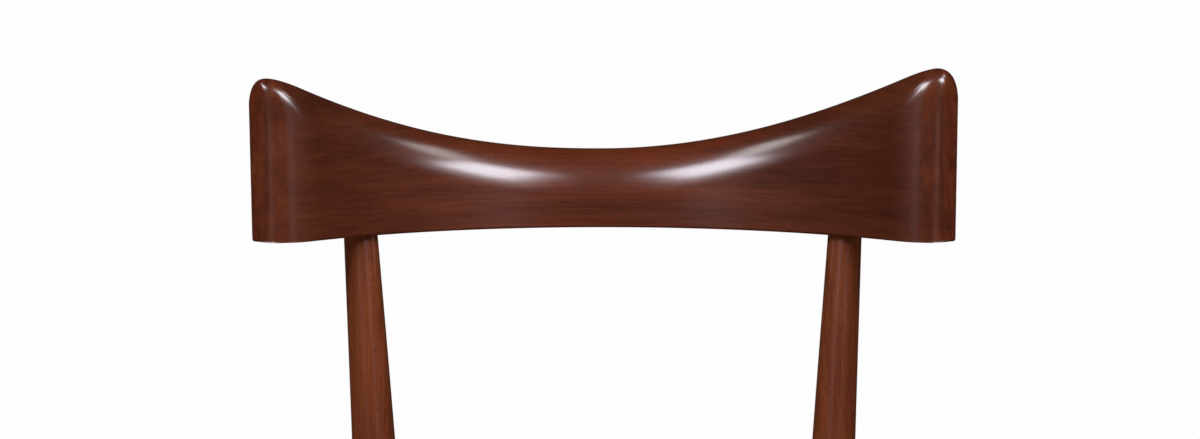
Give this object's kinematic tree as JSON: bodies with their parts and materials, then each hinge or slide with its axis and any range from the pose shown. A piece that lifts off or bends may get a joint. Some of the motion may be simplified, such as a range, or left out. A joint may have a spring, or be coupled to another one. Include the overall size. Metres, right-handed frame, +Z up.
{
  "type": "klismos chair",
  "caption": "Klismos dining chair: hollow crest rail with raised horns on sabre back legs that run up as round posts, splayed front legs and a leather drop-in seat.",
  "frame": {"origin": "on the floor, under the middle of the chair's bounding box", "axes": "+Z up; the sitter faces -Y; +X is the sitter's left"},
  "size_m": [0.5077, 0.6062, 0.8373],
  "materials": {
    "polished_wood": "dark red-brown mahogany under a clear gloss lacquer",
    "plain_wood": "bare beech",
    "plywood": "bare birch plywood",
    "leather": "mid-brown upholstery leather, soft sheen",
    "foam": "open-cell upholstery foam",
    "cambric": "black lining cloth",
    "steel": "zinc-plated wood screws",
    "nylon": "black moulded glides"
  },
  "bodies": {
    "root": {"back_left_block_screw_to_back_rail": "steel", "back_left_block_screw_to_side_rail": "steel", "back_left_corner_block": "plain_wood", "back_left_glide": "nylon", "back_left_seat_screw": "steel", "back_leg_left": "polished_wood", "back_leg_right": "polished_wood", "back_right_block_screw_to_back_rail": "steel", "back_right_block_screw_to_side_rail": "steel", "back_right_corner_block": "plain_wood", "back_right_glide": "nylon", "back_right_seat_screw": "steel", "crest_rail": "polished_wood", "dust_cover": "cambric", "front_left_block_screw_to_front_rail": "steel", "front_left_block_screw_to_side_rail": "steel", "front_left_corner_block": "plain_wood", "front_left_glide": "nylon", "front_left_seat_screw": "steel", "front_leg_left": "polished_wood", "front_leg_right": "polished_wood", "front_right_block_screw_to_front_rail": "steel", "front_right_block_screw_to_side_rail": "steel", "front_right_corner_block": "plain_wood", "front_right_glide": "nylon", "front_right_seat_screw": "steel", "seat_board": "plywood", "seat_cover": "leather", "seat_foam": "foam", "seat_rail_back": "polished_wood", "seat_rail_back_left_lower_dowel": "plain_wood", "seat_rail_back_left_upper_dowel": "plain_wood", "seat_rail_back_right_lower_dowel": "plain_wood", "seat_rail_back_right_upper_dowel": "plain_wood", "seat_rail_front": "polished_wood", "seat_rail_front_left_lower_dowel": "plain_wood", "seat_rail_front_left_upper_dowel": "plain_wood", "seat_rail_front_right_lower_dowel": "plain_wood", "seat_rail_front_right_upper_dowel": "plain_wood", "seat_rail_left": "polished_wood", "seat_rail_left_back_lower_dowel": "plain_wood", "seat_rail_left_back_upper_dowel": "plain_wood", "seat_rail_left_front_lower_dowel": "plain_wood", "seat_rail_left_front_upper_dowel": "plain_wood", "seat_rail_right": "polished_wood", "seat_rail_right_back_lower_dowel": "plain_wood", "seat_rail_right_back_upper_dowel": "plain_wood", "seat_rail_right_front_lower_dowel": "plain_wood", "seat_rail_right_front_upper_dowel": "plain_wood"}
  },
  "joints": []
}
